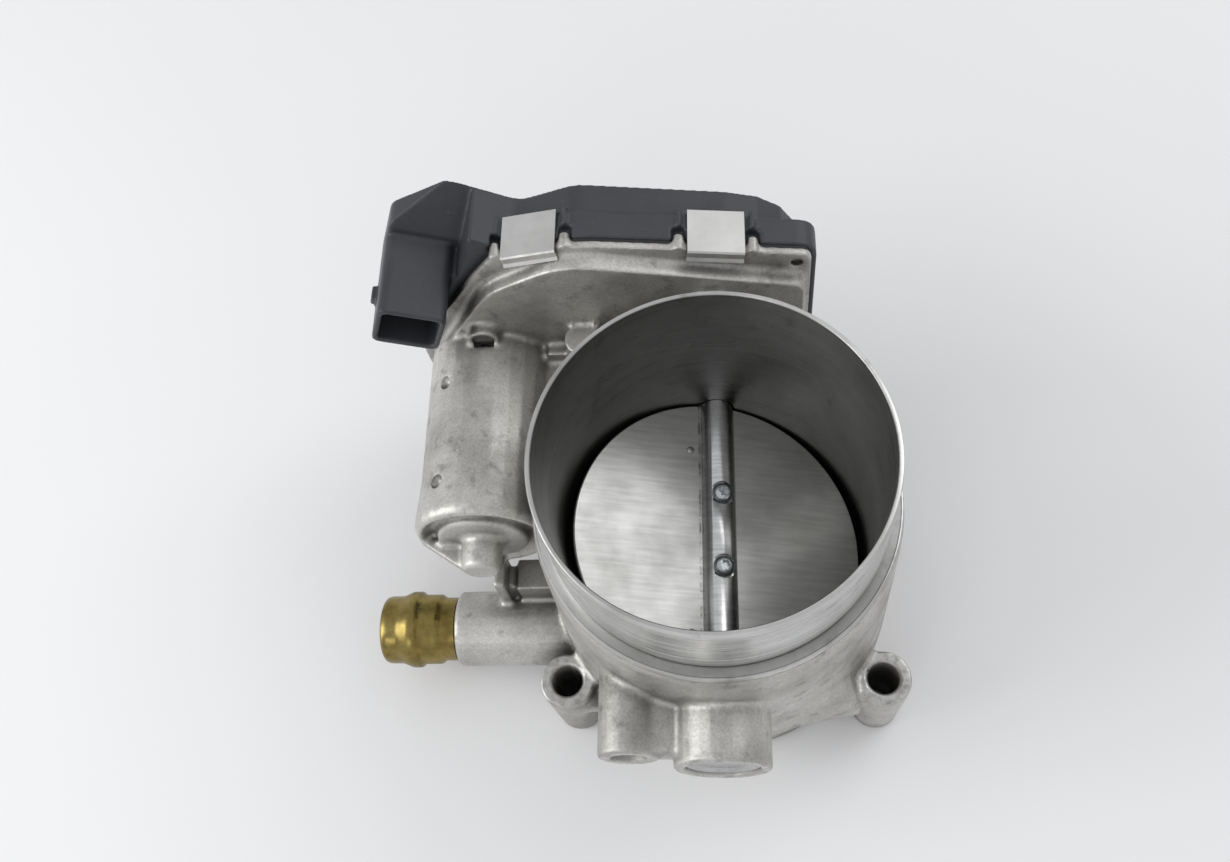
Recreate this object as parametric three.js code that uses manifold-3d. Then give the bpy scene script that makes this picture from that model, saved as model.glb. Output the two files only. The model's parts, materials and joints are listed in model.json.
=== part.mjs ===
// Electronic throttle body: cast housing with bore, flap on a cross shaft,
// geared motor drive and clipped cover.
// Millimetres, +Z up. The parts are modelled about the bore axis (x = y = 0) with the mounting face at z = 0,
// and the finished assembly is moved so that the middle of its base is the origin.

import * as THREE from 'three';
import { ConvexGeometry } from 'three/addons/geometries/ConvexGeometry.js';
import { mergeVertices } from 'three/addons/utils/BufferGeometryUtils.js';
import Module from 'manifold-3d';

const wasm = await Module();
wasm.setup();

// ---------- driving dimensions ----------

const BORE_R = 41;
const BORE_TAPER_Z = 72.8;
const MOUTH_R = 42.6;
const RIM_Z = 115.5;
const COLLAR_R = 43.9;
const GROOVE_R = 42.9;
const COLLAR_BASE_Z = 91.5;
const SHOULDER_Z = 88;
const SHOULDER_R = 46.4;
const BASE_R = 45;
const BASE_Z = 14;
const FLANGE_R = 48.525;
const FLANGE_Z = 24;

const LUG_X = 44.4;
const LUG_Y = 32.6;
const LUG_R = 7.8;
const LUG_FOOT_R = 6.9;
const LUG_Z = 33;
const BOLT_HOLE_R = 4.4;

const SHAFT_Z = 57;
const SHAFT_R = 5;
const SHAFT_FRONT_Y = -57.5;
const SHAFT_BACK_Y = 75;
const PLATE_R = 40.75;
const PLATE_THICK = 1.8;
const REST_TILT = THREE.MathUtils.degToRad(19);
const SCREW_YS = { plate_screw_front: -9, plate_screw_rear: 12.3 };

const BOSS_FRONT_Y = -61.8;
const BOSS_R = 12.6;
const PORT_X = -24;
const PORT_FRONT_Y = -59;
const PORT_R = 8.2;

const NIPPLE_Y = -12.9;
const NIPPLE_Z = 19.3;
const NIPPLE_BORE_R = 7.4;
const NIPPLE_SEAT_X = -79.6;
const NIPPLE_SOCKET_X = -66.7;
const NIPPLE_TIP_X = -102.6;

const MOTOR = { x: -65, z: 61 };
const MOTOR_CASE_R = 18.5;
const MOTOR_BORE_R = 16.3;
const CAN_R = 15.9;
const MOTOR_SCREW_ANGLES = [-60, 60].map(THREE.MathUtils.degToRad);
const MOTOR_SCREW_REACH = 19.2;

const WALL_Y = 56;
const FLOOR_Y = 58.6;
const LIP_Y = 60.7;
const SEAM_Y = 63;
const COVER_Y = 64;
const COVER_BAND_Y = 72.2;
const STEP_BACK_Y = 74.5;
const COVER_CEILING_Y = 79;
const STEP_FRONT_Y = 73.5;
const STEP_RISE = 2;
const STEP_END_X = 11;
const PEAK_RISE = 26.3;
const COVER_BACK_Y = 81.5;
const CAST_WALL = 2.6;
const COVER_WALL = 2.4;

const SOCKET = {
  x: -82.2, z: 94, width: 18.6, height: 16.8, tilt: THREE.MathUtils.degToRad(22), frontY: 48.4, floorY: 67,
};
const SOCKET_WALL = 1.6;

const FIT_GAP = 0.3;
const PINION = { module: 0.8, teeth: 12, shift: 0.4, backlash: 0.12, flank: 4 };
const WHEEL = { module: 0.8, teeth: 58, shift: -0.4, backlash: 0.12, flank: 2 };
const SMALL_GEAR = { module: 1.25, teeth: 13, shift: 0.4, backlash: 0.14, flank: 4 };
const SECTOR = { module: 1.25, teeth: 47, shift: -0.4, backlash: 0.14, flank: 3 };
const SECTOR_TEETH_BEFORE = 4;
const SECTOR_TEETH_AFTER = 11;
const PRESSURE_ANGLE = THREE.MathUtils.degToRad(20);

const FINE_STEPS = 60;
const ROUND_STEPS = 28;
const SMALL_STEPS = 18;
const CORNER_STEPS = 4;

// Outlines across the gear case, as corners [x, z, corner radius], anticlockwise seen from the front (-Y).
const LOWER_EDGE = [[-86.6, 40, 18], [-50, 34, 12], [-21, 17.5, 14]];
const CASE_OUTLINE = [
  [25, 21, 9], [25, 96.5, 4], [-38, 110.8, 22], [-61, 98.5, 25], [-82.8, 63, 16], [-82.8, 42, 18],
  [-50, 37, 12],
  [-22, 20, 14],
];
const LIP_OUTLINE = [
  [26.8, 17.5, 8], [26.8, 103.9, 3], [-34, 112.6, 30], [-57.5, 108.5, 6], [-64.6, 99.5, 16],
  [-86.6, 67, 14],
  ...LOWER_EDGE,
];
const BAND_OUTLINE = [
  [28.4, 17.5, 8], [28.4, 103.67, 6], [-34, 112.6, 30], [-57.5, 108.5, 6], [-66.5, 100.5, 5],
  [-87.6, 68, 10],
  ...LOWER_EDGE,
];
const BACK_OUTLINE = [
  [25, 19, 10], [24.4, 102, 24], [-35, 111.8, 10], [-51, 106.3, 7], [-68.9, 116.8, 3], [-86.2, 108.3, 5],
  [-94.6, 88, 6], [-86.4, 72, 8], [-85.6, 41, 17], [-50, 35.2, 12], [-21, 19, 14],
];

// Spring clips: the lip outline's edge they sit on, how far along it, and their name.
const CLIP_WIDTH = 15;
const CLIPS = [
  { name: 'clip_top_left', edge: 2, along: 0.55 },
  { name: 'clip_top_right', edge: 1, along: 0.408 },
  { name: 'clip_bottom_left', edge: 6, along: 0.5 },
  { name: 'clip_bottom_right', edge: 8, along: 0.52 },
];

// ---------- colours ----------

const LOOKS = {
  cast: { color: 0x9a9890, roughness: 0.55, metalness: 0.9 },
  steel: { color: 0xb9bbbd, roughness: 0.28, metalness: 1 },
  darkSteel: { color: 0x6c6e70, roughness: 0.4, metalness: 1 },
  plate: { color: 0xa7a8a4, roughness: 0.45, metalness: 0.9 },
  brass: { color: 0x9c8240, roughness: 0.35, metalness: 1 },
  copper: { color: 0xb0703c, roughness: 0.4, metalness: 1 },
  cover: { color: 0x2b2e33, roughness: 0.6, metalness: 0 },
  gear: { color: 0xd8d2c0, roughness: 0.5, metalness: 0 },
  rubber: { color: 0x151515, roughness: 0.8, metalness: 0 },
  board: { color: 0x1f5a34, roughness: 0.5, metalness: 0 },
  magnet: { color: 0x3a3a3c, roughness: 0.7, metalness: 0.2 },
};

// ---------- solids ----------

function signedVolume(position, triangles) {
  let volume = 0;
  const [a, b, c] = [new THREE.Vector3(), new THREE.Vector3(), new THREE.Vector3()];
  for (let i = 0; i < triangles.length; i += 3) {
    a.fromArray(position, triangles[i] * 3);
    b.fromArray(position, triangles[i + 1] * 3);
    c.fromArray(position, triangles[i + 2] * 3);
    volume += a.dot(b.cross(c));
  }
  return volume;
}

function solid(geometry) {
  const plain = geometry.clone();
  plain.deleteAttribute('normal');
  plain.deleteAttribute('uv');
  const merged = mergeVertices(plain, 1e-4);
  const position = merged.attributes.position.array;
  const index = merged.index.array;
  const triangles = [];
  for (let i = 0; i < index.length; i += 3) {
    const [a, b, c] = [index[i], index[i + 1], index[i + 2]];
    if (a !== b && b !== c && c !== a) triangles.push(a, b, c);
  }
  if (signedVolume(position, triangles) < 0) triangles.reverse();
  const vertProperties = new Float32Array(position);
  const triVerts = new Uint32Array(triangles);
  return new wasm.Manifold(new wasm.Mesh({ numProp: 3, vertProperties, triVerts }));
}

function joined(geometries) {
  return geometries.map(solid).reduce((whole, piece) => whole.add(piece));
}

function cut(whole, geometries) {
  return geometries.map(solid).reduce((rest, tool) => rest.subtract(tool), whole);
}

function meshOf(name, shape, look) {
  const { vertProperties, triVerts } = shape.getMesh();
  const geometry = new THREE.BufferGeometry();
  geometry.setAttribute('position', new THREE.BufferAttribute(vertProperties, 3));
  geometry.setIndex(new THREE.BufferAttribute(triVerts, 1));
  geometry.computeVertexNormals();
  const mesh = new THREE.Mesh(geometry, new THREE.MeshStandardMaterial(look));
  mesh.name = name;
  return mesh;
}

function points(profile) {
  return profile.map(([r, along]) => new THREE.Vector2(r, along));
}

// Turned solids: profile points are [radius, distance along the axis].
function turnedX(profile, steps, y = 0, z = 0) {
  return new THREE.LatheGeometry(points(profile), steps).rotateZ(-Math.PI / 2).translate(0, y, z);
}

function turnedY(profile, steps, x = 0, z = 0) {
  return new THREE.LatheGeometry(points(profile), steps).translate(x, 0, z);
}

function turnedZ(profile, steps, x = 0, y = 0) {
  return new THREE.LatheGeometry(points(profile), steps).rotateX(Math.PI / 2).translate(x, y, 0);
}

function rod(radius, from, to) {
  return [[0, from], [radius, from], [radius, to], [0, to]];
}

function ring(inner, outer, from, to) {
  return [[inner, from], [outer, from], [outer, to], [inner, to], [inner, from]];
}

function slabY(shape, from, to) {
  const settings = { depth: to - from, bevelEnabled: false, curveSegments: CORNER_STEPS };
  return new THREE.ExtrudeGeometry(shape, settings).rotateX(Math.PI / 2).translate(0, to, 0);
}

function slabZ(shape, from, to) {
  const settings = { depth: to - from, bevelEnabled: false, curveSegments: CORNER_STEPS };
  return new THREE.ExtrudeGeometry(shape, settings).translate(0, 0, from);
}

// The shape's first axis becomes y and its second z.
function slabX(shape, from, to) {
  const settings = { depth: to - from, bevelEnabled: false, curveSegments: CORNER_STEPS };
  const slab = new THREE.ExtrudeGeometry(shape, settings);
  return slab.rotateX(Math.PI / 2).rotateZ(Math.PI / 2).translate(from, 0, 0);
}

function block([x0, x1], [y0, y1], [z0, z1]) {
  const box = new THREE.BoxGeometry(x1 - x0, y1 - y0, z1 - z0);
  return box.translate((x0 + x1) / 2, (y0 + y1) / 2, (z0 + z1) / 2);
}

function polygon(corners) {
  return new THREE.Shape(corners.map(([x, y]) => new THREE.Vector2(x, y)));
}

// ---------- rounded outlines ----------

function neighbours(corners, i) {
  const corner = new THREE.Vector2(corners[i][0], corners[i][1]);
  const before = new THREE.Vector2(...corners.at(i - 1).slice(0, 2));
  const after = new THREE.Vector2(...corners[(i + 1) % corners.length].slice(0, 2));
  const arriving = corner.clone().sub(before).normalize();
  const leaving = after.clone().sub(corner).normalize();
  return { corner, arriving, leaving };
}

function roundedShape(corners) {
  const shape = new THREE.Shape();
  corners.forEach(([, , radius], i) => {
    const { corner, arriving, leaving } = neighbours(corners, i);
    const turn = Math.acos(THREE.MathUtils.clamp(arriving.dot(leaving), -1, 1));
    const run = radius * Math.tan(turn / 2);
    const start = corner.clone().addScaledVector(arriving, -run);
    const end = corner.clone().addScaledVector(leaving, run);
    if (i === 0) shape.moveTo(start.x, start.y);
    else shape.lineTo(start.x, start.y);
    shape.quadraticCurveTo(corner.x, corner.y, end.x, end.y);
  });
  shape.closePath();
  return shape;
}

function inset(corners, distance) {
  return corners.map(([, , radius], i) => {
    const { corner, arriving, leaving } = neighbours(corners, i);
    const inward = new THREE.Vector2(-arriving.y - leaving.y, arriving.x + leaving.x);
    corner.addScaledVector(inward, distance / (1 + arriving.dot(leaving)));
    const bend = Math.sign(arriving.cross(leaving));
    return [corner.x, corner.y, Math.max(radius - bend * distance, 0.8)];
  });
}

function edgeFrame({ edge, along }) {
  const start = new THREE.Vector2(...LIP_OUTLINE[edge].slice(0, 2));
  const end = new THREE.Vector2(...LIP_OUTLINE[(edge + 1) % LIP_OUTLINE.length].slice(0, 2));
  const middle = start.clone().lerp(end, along);
  const heading = end.clone().sub(start);
  return { x: middle.x, z: middle.y, turn: Math.atan2(heading.y, -heading.x) };
}

function onEdge(clip, geometry) {
  const { x, z, turn } = edgeFrame(clip);
  return geometry.rotateY(turn).translate(x, 0, z);
}

// ---------- gears ----------

function involute(angle) {
  return Math.tan(angle) - angle;
}

function gearSizes({ module, teeth, shift }) {
  const pitch = (module * teeth) / 2;
  return {
    pitch,
    base: pitch * Math.cos(PRESSURE_ANGLE),
    tip: pitch + module * (0.92 + shift),
    root: pitch - module * (1.25 - shift),
  };
}

function toothHalfAngle(gear, radius) {
  const { pitch, base } = gearSizes(gear);
  const atPitch = (Math.PI / 2 + 2 * gear.shift * Math.tan(PRESSURE_ANGLE)) / gear.teeth;
  const slope = Math.acos(Math.min(1, base / Math.max(radius, base)));
  return atPitch - gear.backlash / (2 * pitch) + involute(PRESSURE_ANGLE) - involute(slope);
}

function toothPoints(gear, middle) {
  const { tip, root } = gearSizes(gear);
  const rising = [];
  for (let i = 0; i < gear.flank; i += 1) {
    const radius = root + ((tip - root) * i) / (gear.flank - 1);
    rising.push([radius, toothHalfAngle(gear, radius)]);
  }
  const falling = [...rising].reverse();
  return [
    ...rising.map(([radius, half]) => polar(radius, middle - half)),
    ...falling.map(([radius, half]) => polar(radius, middle + half)),
  ];
}

function polar(radius, angle) {
  return new THREE.Vector2(radius * Math.cos(angle), radius * Math.sin(angle));
}

function hole(radius) {
  const outline = [];
  for (let i = 0; i < SMALL_STEPS; i += 1) outline.push(polar(radius, (-2 * Math.PI * i) / SMALL_STEPS));
  return new THREE.Path(outline);
}

function gearShape(gear, phase, boreR) {
  const outline = [];
  for (let i = 0; i < gear.teeth; i += 1) {
    outline.push(...toothPoints(gear, phase + (2 * Math.PI * i) / gear.teeth));
  }
  const shape = new THREE.Shape(outline);
  shape.holes.push(hole(boreR));
  return shape;
}

function sectorShape(firstTooth, toothCount, hubR, boreR) {
  const pitchAngle = (2 * Math.PI) / SECTOR.teeth;
  const outline = [];
  for (let i = 0; i < toothCount; i += 1) outline.push(...toothPoints(SECTOR, firstTooth + pitchAngle * i));
  const lastTooth = firstTooth + pitchAngle * (toothCount - 1);
  const start = lastTooth + Math.PI / 3;
  const sweep = 2 * Math.PI - (lastTooth - firstTooth) - (2 * Math.PI) / 3;
  for (let i = 0; i <= SMALL_STEPS; i += 1) outline.push(polar(hubR, start + (sweep * i) / SMALL_STEPS));
  const shape = new THREE.Shape(outline);
  shape.holes.push(hole(boreR));
  return shape;
}

// The layshaft stands where both gear pairs run at their centre distances, above the line of the two axes.
function layshaftPlace() {
  const motorReach = (PINION.module * (PINION.teeth + WHEEL.teeth)) / 2;
  const shaftReach = (SECTOR.module * (SMALL_GEAR.teeth + SECTOR.teeth)) / 2;
  const toShaft = new THREE.Vector2(-MOTOR.x, SHAFT_Z - MOTOR.z);
  const distance = toShaft.length();
  const opening = Math.acos(
    (motorReach ** 2 + distance ** 2 - shaftReach ** 2) / (2 * motorReach * distance),
  );
  const angle = toShaft.angle() + opening;
  return { x: MOTOR.x + motorReach * Math.cos(angle), z: MOTOR.z + motorReach * Math.sin(angle), angle };
}

const LAYSHAFT = layshaftPlace();
const MOTOR_TO_LAYSHAFT = LAYSHAFT.angle;
const LAYSHAFT_TO_SHAFT = Math.atan2(SHAFT_Z - LAYSHAFT.z, -LAYSHAFT.x);

// ---------- housing ----------

function barrel() {
  return turnedZ([
    [0, 0], [BASE_R, 0], [BASE_R, BASE_Z], [FLANGE_R, FLANGE_Z], [SHOULDER_R + 0.8, 84],
    [SHOULDER_R, SHOULDER_Z],
    [GROOVE_R, SHOULDER_Z], [GROOVE_R, COLLAR_BASE_Z - 0.6], [COLLAR_R, COLLAR_BASE_Z],
    [COLLAR_R, RIM_Z - 0.4],
    [COLLAR_R - 0.4, RIM_Z], [0, RIM_Z],
  ], FINE_STEPS);
}

function boreTool() {
  return turnedZ([
    [0, -1], [BORE_R, -1], [BORE_R, BORE_TAPER_Z], [MOUTH_R, RIM_Z], [MOUTH_R, RIM_Z + 1], [0, RIM_Z + 1],
  ], FINE_STEPS);
}

function lugPlaces() {
  return [[-1, -1], [1, -1], [-1, 1], [1, 1]].map(([sx, sy]) => [sx * LUG_X, sy * LUG_Y]);
}

function lugs() {
  const profile = [[0, 0], [LUG_FOOT_R, 0], [LUG_R, LUG_Z - 6], [LUG_R, LUG_Z], [0, LUG_Z]];
  return lugPlaces().map(([x, y]) => turnedZ(profile, ROUND_STEPS, x, y));
}

// A gusset from the barrel down to a right-hand lug, on the front (side -1) or the back (side 1).
function gusset(side) {
  const ridge = [[13, 45.5, 40], [38, 40.5, 29.5], [36.4, 33, 32], [33.5, 30.5, 46], [14, 42, 60]];
  const foot = [[13, 45.5, 23], [38, 40.5, 23], [36.4, 33, 23], [33.5, 30.5, 23], [14, 42, 23]];
  return new ConvexGeometry([...ridge, ...foot].map(([x, y, z]) => new THREE.Vector3(x, side * y, z)));
}

function lugWebs() {
  const left = polygon([[-44.4, -32], [-42, -39.5], [-33, -39], [-24, -40], [-24, -32], [-36, -24]]);
  const rearLeft = polygon([[-44.4, 32], [-36, 24], [-10, 30], [-13, 45], [-42, 39.5]]);
  return [gusset(-1), gusset(1), slabZ(left, 22, 27), slabZ(rearLeft, 24, 29)];
}

function frontBosses() {
  return [
    turnedY([[0, BOSS_FRONT_Y], [BOSS_R - 0.6, BOSS_FRONT_Y], [BOSS_R, BOSS_FRONT_Y + 0.6],
      [BOSS_R, -38], [0, -38]],
      ROUND_STEPS, 0, SHAFT_Z),
    turnedY([[0, PORT_FRONT_Y], [PORT_R - 0.6, PORT_FRONT_Y], [PORT_R, PORT_FRONT_Y + 0.6],
      [PORT_R, -32], [0, -32]],
      ROUND_STEPS, PORT_X, SHAFT_Z),
    block([PORT_X + 5, -10], [-58, -38], [50, 62.6]),
  ];
}

function nippleBoss() {
  return [
    turnedX([[0, NIPPLE_SEAT_X], [10.5, NIPPLE_SEAT_X], [11.2, NIPPLE_SEAT_X + 0.8], [11.3, -42], [0, -42]],
      ROUND_STEPS, NIPPLE_Y, NIPPLE_Z),
    block([-59.5, -46], [-6.8, 2.4], [12, 38.5]),
    block([-65, -62], [-8, 2], [24, 45]),
  ];
}

function motorCase() {
  return [
    turnedY([
      [0, -9.4], [4.6, -9.4], [5.4, -8.6], [5.8, -0.4], [12.2, -0.2], [12.9, 0.5], [13.1, 3.4], [15.6, 2.6],
      [17.4, 0.2], [18.6, 1], [19.2, 2.4], [19.2, 4], [MOTOR_CASE_R, 16],
      [MOTOR_CASE_R, WALL_Y + 1], [0, WALL_Y + 1],
    ], ROUND_STEPS, MOTOR.x, MOTOR.z),
    slabZ(polygon([[-83.6, 0.6], [-68.5, -9.3], [-62, -9.3], [-62, 4]]), 56.5, 59.5),
    block([-50, -38], [6, WALL_Y + 1], [46, 68]),
    turnedY(rod(4.6, 52.4, WALL_Y + 1), SMALL_STEPS, -64.5, 80.2),
  ];
}

function gearCase() {
  return [
    slabY(roundedShape(CASE_OUTLINE), WALL_Y, LIP_Y + 0.5),
    slabY(roundedShape(LIP_OUTLINE), LIP_Y, SEAM_Y),
    turnedY(rod(14.5, 40, WALL_Y + 1), ROUND_STEPS, 0, SHAFT_Z),
    block([-3, 3], [44, WALL_Y + 1], [6, 96]),
    turnedZ(rod(5.2, 20, 82), SMALL_STEPS, -36, 51.5),
    block([-47.5, -41], [52, WALL_Y + 1], [64, 72]),
  ];
}

function posts(radius, from, to) {
  return CLIPS.flatMap((clip) => [-1, 1].map((side) => {
    const post = turnedY(rod(radius, from, to), 12, side * (CLIP_WIDTH / 2 + 2.2), -0.4);
    return onEdge(clip, post);
  }));
}

function housingHoles() {
  return [
    slabY(roundedShape(inset(CASE_OUTLINE, CAST_WALL)), FLOOR_Y, SEAM_Y + 1),
    boreTool(),
    ...lugPlaces().map(([x, y]) => turnedZ(rod(BOLT_HOLE_R, -1, LUG_Z + 1), SMALL_STEPS, x, y)),
    turnedY([
      [0, BOSS_FRONT_Y - 1], [9.6, BOSS_FRONT_Y - 1], [9.6, -59.3], [7, -59.3], [7, -44.6],
      [5.3, -44.6], [5.3, 47.5],
      [8, 47.5], [8, 51.5], [11.3, 51.5], [11.3, FLOOR_Y + 1], [0, FLOOR_Y + 1],
    ], SMALL_STEPS, 0, SHAFT_Z),
    turnedY(rod(4.6, PORT_FRONT_Y - 1, -42), SMALL_STEPS, PORT_X, SHAFT_Z),
    turnedX([
      [0, NIPPLE_SEAT_X - 1], [9.3, NIPPLE_SEAT_X - 1], [9.3, NIPPLE_SOCKET_X],
      [NIPPLE_BORE_R, NIPPLE_SOCKET_X],
      [NIPPLE_BORE_R, -37], [0, -37],
    ], SMALL_STEPS, NIPPLE_Y, NIPPLE_Z),
    turnedY([[0, -4], [3.6, -4], [3.6, 5], [MOTOR_BORE_R, 5], [MOTOR_BORE_R, FLOOR_Y + 1],
      [0, FLOOR_Y + 1]],
      ROUND_STEPS, MOTOR.x, MOTOR.z),
    turnedY(rod(3.1, 51.4, 53.3), SMALL_STEPS, -64.5, 80.2),
    ...motorScrewPlaces().map(([x, z]) => turnedY(rod(1.5, WALL_Y + 0.9, FLOOR_Y + 1), 12, x, z)),
    turnedY(rod(1.6, LIP_Y - 1, SEAM_Y - 0.8), 12, 23, 100.4),
    ...motorDimples(),
  ];
}

function motorDimples() {
  const lean = THREE.MathUtils.degToRad(-35);
  return [11.5, 42].map((y) => {
    const tool = turnedZ([[0, MOTOR_CASE_R - 1.3], [1.7, MOTOR_CASE_R - 0.5],
      [1.7, MOTOR_CASE_R + 1], [0, 20]], 12);
    return tool.rotateY(lean).translate(MOTOR.x, y, MOTOR.z);
  });
}

function throttleBody() {
  const outside = joined([
    barrel(), ...lugs(), ...lugWebs(), ...frontBosses(), ...nippleBoss(), ...motorCase(), ...gearCase(),
    ...posts(1.5, LIP_Y, 65.5),
  ]);
  const pinBoss = solid(turnedY(rod(5.5, FLOOR_Y - 1, FLOOR_Y + 1.6), SMALL_STEPS, LAYSHAFT.x, LAYSHAFT.z));
  const pinHole = turnedY(rod(2.8, WALL_Y + 0.8, FLOOR_Y + 2), SMALL_STEPS, LAYSHAFT.x, LAYSHAFT.z);
  const shape = cut(cut(outside, housingHoles()).add(pinBoss), [pinHole]);
  return meshOf('throttle_body', shape, LOOKS.cast);
}

function hoseNipple() {
  const profile = [
    [NIPPLE_BORE_R, NIPPLE_SOCKET_X - FIT_GAP], [9, NIPPLE_SOCKET_X - FIT_GAP],
    [9, NIPPLE_SEAT_X - FIT_GAP],
    [9.5, NIPPLE_SEAT_X - FIT_GAP], [9.5, -84], [10.5, -85.6], [10.5, -90.6], [11.5, -91.6],
    [11.5, -94], [10.3, -96.8],
    [10.2, -100.4], [9.6, NIPPLE_TIP_X + 0.5], [9, NIPPLE_TIP_X], [NIPPLE_BORE_R, NIPPLE_TIP_X],
    [NIPPLE_BORE_R, NIPPLE_SOCKET_X - FIT_GAP],
  ];
  return meshOf('hose_nipple', solid(turnedX(profile, ROUND_STEPS, NIPPLE_Y, NIPPLE_Z)), LOOKS.brass);
}

// ---------- shaft bearings and seals ----------

function shaftRing(name, inner, outer, from, to, look) {
  return meshOf(name, solid(turnedY(ring(inner, outer, from, to), SMALL_STEPS, 0, SHAFT_Z)), look);
}

function bearingsAndSeals() {
  return [
    meshOf('bearing_end_plug', solid(turnedY(rod(9.3, -60.9, -59.6), SMALL_STEPS, 0, SHAFT_Z)), LOOKS.steel),
    shaftRing('needle_bearing_front', 5.2, 6.7, -58.4, -47, LOOKS.steel),
    shaftRing('shaft_seal_front', 5.2, 6.7, -46.6, -45, LOOKS.rubber),
    shaftRing('shaft_seal_rear', 5.2, 7.7, 47.8, 51.2, LOOKS.rubber),
    shaftRing('ball_bearing_rear', 5.3, 11, 51.8, 58.2, LOOKS.steel),
  ];
}

// ---------- throttle shaft group ----------

function throttleShaft() {
  const bar = solid(turnedY(
    [[0, SHAFT_FRONT_Y], [4.5, SHAFT_FRONT_Y], [SHAFT_R, SHAFT_FRONT_Y + 0.5],
    [SHAFT_R, SHAFT_BACK_Y - 0.5],
      [4.5, SHAFT_BACK_Y], [0, SHAFT_BACK_Y]], SMALL_STEPS));
  const slotHalf = PLATE_THICK / 2 + FIT_GAP;
  const tools = [block([-SHAFT_R - 1, SHAFT_R + 1], [-PLATE_R - 0.5, PLATE_R + 0.5],
  [-slotHalf, slotHalf])];
  Object.values(SCREW_YS).forEach((y) => {
    tools.push(turnedZ([[0, -3.8], [1.9, -3.8], [1.9, 4.1], [3.3, 4.1], [3.3, 6],
    [0, 6]], SMALL_STEPS, 0, y));
  });
  return meshOf('throttle_shaft', cut(bar, tools), LOOKS.steel);
}

function throttlePlate() {
  const half = PLATE_THICK / 2;
  const disc = solid(turnedZ(rod(PLATE_R, -half, half), FINE_STEPS));
  const tools = Object.values(SCREW_YS).map((y) => turnedZ(rod(1.9, -half - 1, half + 1), SMALL_STEPS, 0, y));
  return meshOf('throttle_plate', cut(disc, tools), LOOKS.plate);
}

function plateScrew(name, y) {
  const profile = [[0, -3.4], [1.55, -3.4], [1.55, 4.4], [2.95, 4.4], [2.95, 5.3], [2.2, 6.1], [0, 6.1]];
  const screw = meshOf(name, solid(turnedZ(profile, SMALL_STEPS)), LOOKS.steel);
  screw.position.set(0, y, 0);
  return screw;
}

function flapGroup() {
  const group = new THREE.Group();
  group.add(throttleShaft(), throttlePlate());
  Object.entries(SCREW_YS).forEach(([name, y]) => group.add(plateScrew(name, y)));
  group.position.set(0, 0, SHAFT_Z);
  group.rotation.y = REST_TILT;
  return group;
}

function springSleeve() {
  const profile = [
    [5.3, 60], [9.6, 60], [9.6, 60.8], [8, 60.8], [8, 66.3], [5.3, 66.3], [5.3, 60],
  ];
  return meshOf('spring_sleeve', solid(turnedY(profile, SMALL_STEPS, 0, SHAFT_Z)), LOOKS.gear);
}

class Helix extends THREE.Curve {
  constructor(radius, turns, from, to) {
    super();
    Object.assign(this, { radius, turns, from, to });
  }

  getPoint(t, target = new THREE.Vector3()) {
    const angle = 2 * Math.PI * this.turns * t;
    const along = this.from + (this.to - this.from) * t;
    return target.set(this.radius * Math.cos(angle), along, this.radius * Math.sin(angle));
  }
}

function returnSpring() {
  const turns = 3.5;
  const section = new THREE.Shape();
  for (let i = 0; i < 6; i += 1) {
    const corner = polar(0.6, (Math.PI * i) / 3);
    if (i === 0) section.moveTo(corner.x, corner.y);
    else section.lineTo(corner.x, corner.y);
  }
  section.closePath();
  const path = new Helix(10.6, turns, 61.8, 65.8);
  const coil = new THREE.ExtrudeGeometry(section, { steps: turns * 20, bevelEnabled: false, extrudePath: path });
  return meshOf('return_spring', solid(coil.translate(0, 0, SHAFT_Z)), LOOKS.darkSteel);
}

function sectorGear() {
  const pitchAngle = (2 * Math.PI) / SECTOR.teeth;
  const facing = LAYSHAFT_TO_SHAFT + Math.PI;
  const first = facing + pitchAngle * (0.5 - SECTOR_TEETH_BEFORE);
  const count = SECTOR_TEETH_BEFORE + SECTOR_TEETH_AFTER;
  const teeth = solid(slabY(sectorShape(first, count, 10, SHAFT_R + FIT_GAP), 67, 72.6));
  return meshOf('sector_gear', teeth.translate([0, 0, SHAFT_Z]), LOOKS.gear);
}

function gearTrainEnd() {
  return [
    springSleeve(),
    returnSpring(),
    sectorGear(),
    shaftRing('gear_lock_washer', 5.3, 8, 72.9, 74.3, LOOKS.steel),
    meshOf('sensor_rotor', solid(turnedY(rod(9, 75.3, 76.5), SMALL_STEPS, 0, SHAFT_Z)), LOOKS.magnet),
  ];
}

// ---------- layshaft ----------

function layshaftPin() {
  const pin = turnedY(rod(2.5, WALL_Y + 1.1, 77), SMALL_STEPS, LAYSHAFT.x, LAYSHAFT.z);
  return meshOf('intermediate_pin', solid(pin), LOOKS.steel);
}

function intermediateGear() {
  const wheelGap = Math.PI / WHEEL.teeth;
  const wheel = slabY(gearShape(WHEEL, MOTOR_TO_LAYSHAFT + Math.PI + wheelGap, 2.8), 60.8, 65);
  const small = slabY(gearShape(SMALL_GEAR, LAYSHAFT_TO_SHAFT, 2.8), 64.5, 72.8);
  const gear = meshOf('intermediate_gear', joined([wheel, small]), LOOKS.gear);
  gear.position.set(LAYSHAFT.x, 0, LAYSHAFT.z);
  return gear;
}

// ---------- motor ----------

function motorScrewPlaces() {
  return MOTOR_SCREW_ANGLES.map((angle) => {
    return [MOTOR.x + MOTOR_SCREW_REACH * Math.cos(angle), MOTOR.z + MOTOR_SCREW_REACH * Math.sin(angle)];
  });
}

function motorTurned(name, profile, steps, look) {
  return meshOf(name, solid(turnedY(profile, steps, MOTOR.x, MOTOR.z)), look);
}

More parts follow.
